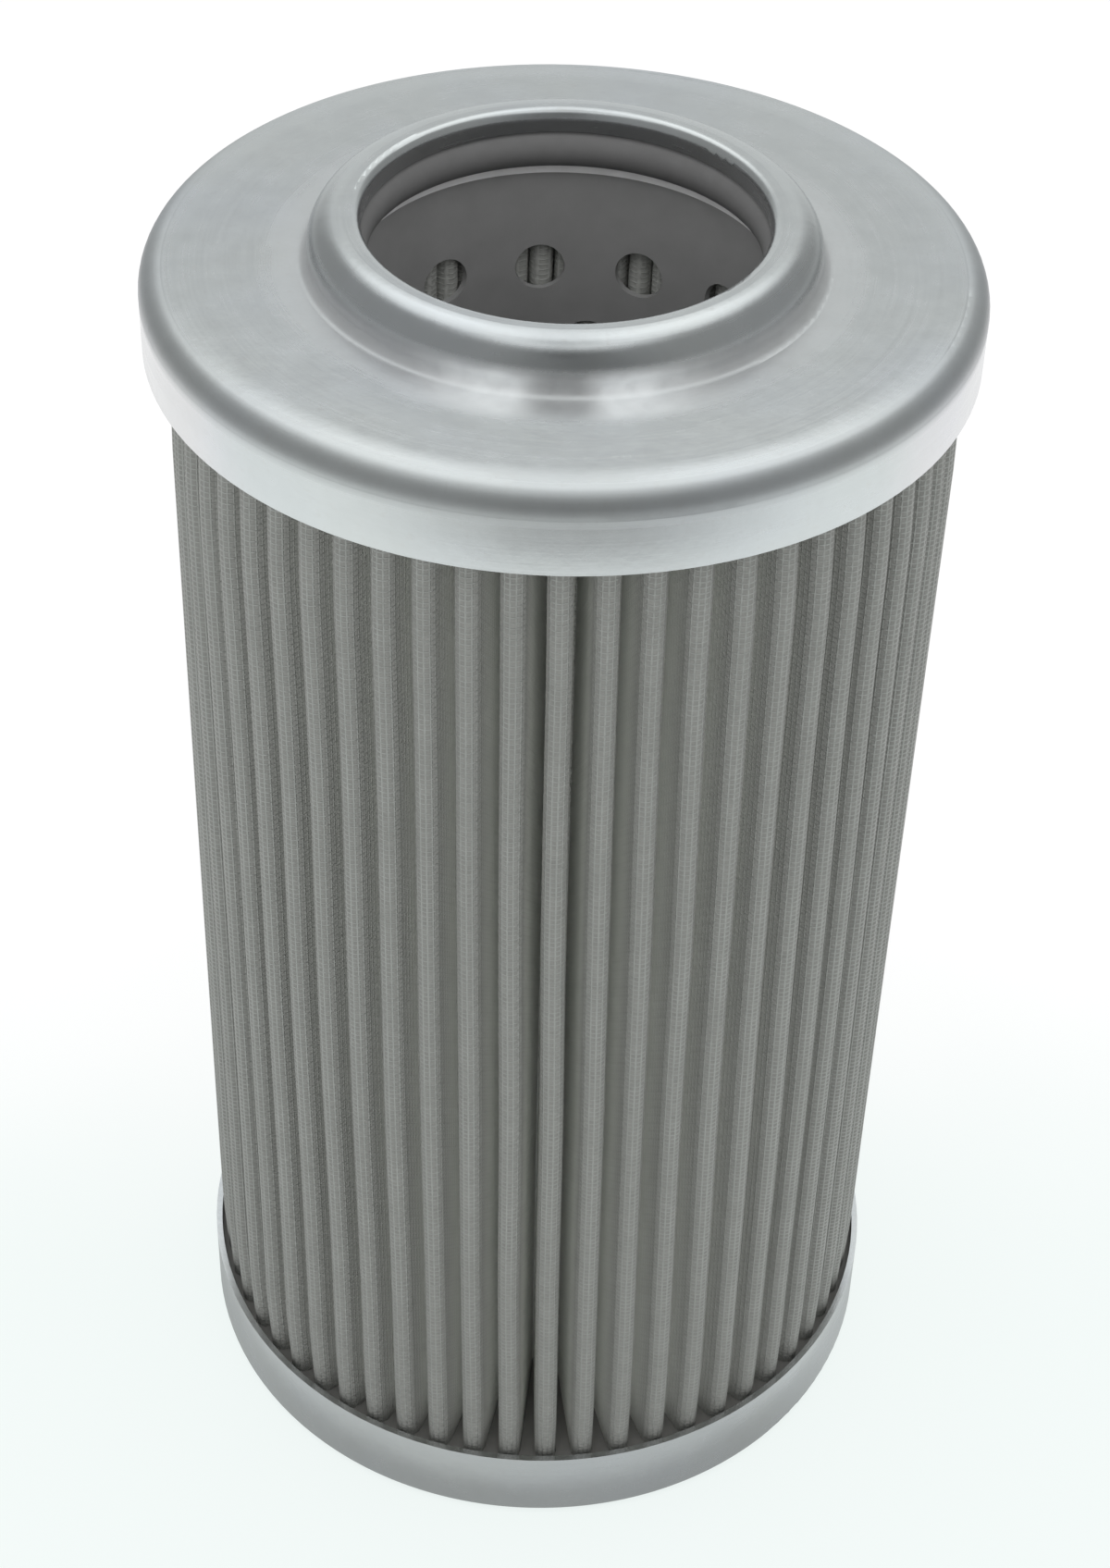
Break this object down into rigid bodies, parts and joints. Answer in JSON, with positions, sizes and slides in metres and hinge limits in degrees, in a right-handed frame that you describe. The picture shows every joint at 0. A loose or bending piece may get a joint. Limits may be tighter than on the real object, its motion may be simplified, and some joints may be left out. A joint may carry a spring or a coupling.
{
  "type": "pleated filter element",
  "caption": "Cylindrical pleated hydraulic filter element with a wire-mesh pack, a necked open top cap with an O-ring, and a closed bottom cap.",
  "frame": {"origin": "centre of the base, on the underside of the bottom cap", "axes": "+Z along the element's axis, from the closed bottom cap to the neck; the pack's side seam is towards +Y"},
  "size_m": [0.0944, 0.0944, 0.1732],
  "materials": {
    "plated_cap": "bright zinc-plated pressed sheet steel",
    "seal_rubber": "smooth black nitrile rubber",
    "seat_steel": "plated pressed steel",
    "core_steel": "plated perforated steel",
    "wire_mesh": "fine woven steel wire, dull",
    "fleece": "thin spun-bonded fleece",
    "glass_media": "matt glass-fibre sheet",
    "clip_steel": "folded plated steel",
    "resin": "dark potting resin"
  },
  "bodies": {
    "root": {"top_end_cap": "plated_cap", "neck_o_ring": "seal_rubber", "seal_seat_ring": "seat_steel", "core_tube": "core_steel", "outer_wire_mesh": "wire_mesh", "outer_fleece": "fleece", "filter_media": "glass_media", "inner_fleece": "fleece", "inner_wire_mesh": "wire_mesh", "seam_clip": "clip_steel", "upper_resin": "resin", "lower_resin": "resin", "bottom_end_cap": "plated_cap"}
  },
  "joints": []
}
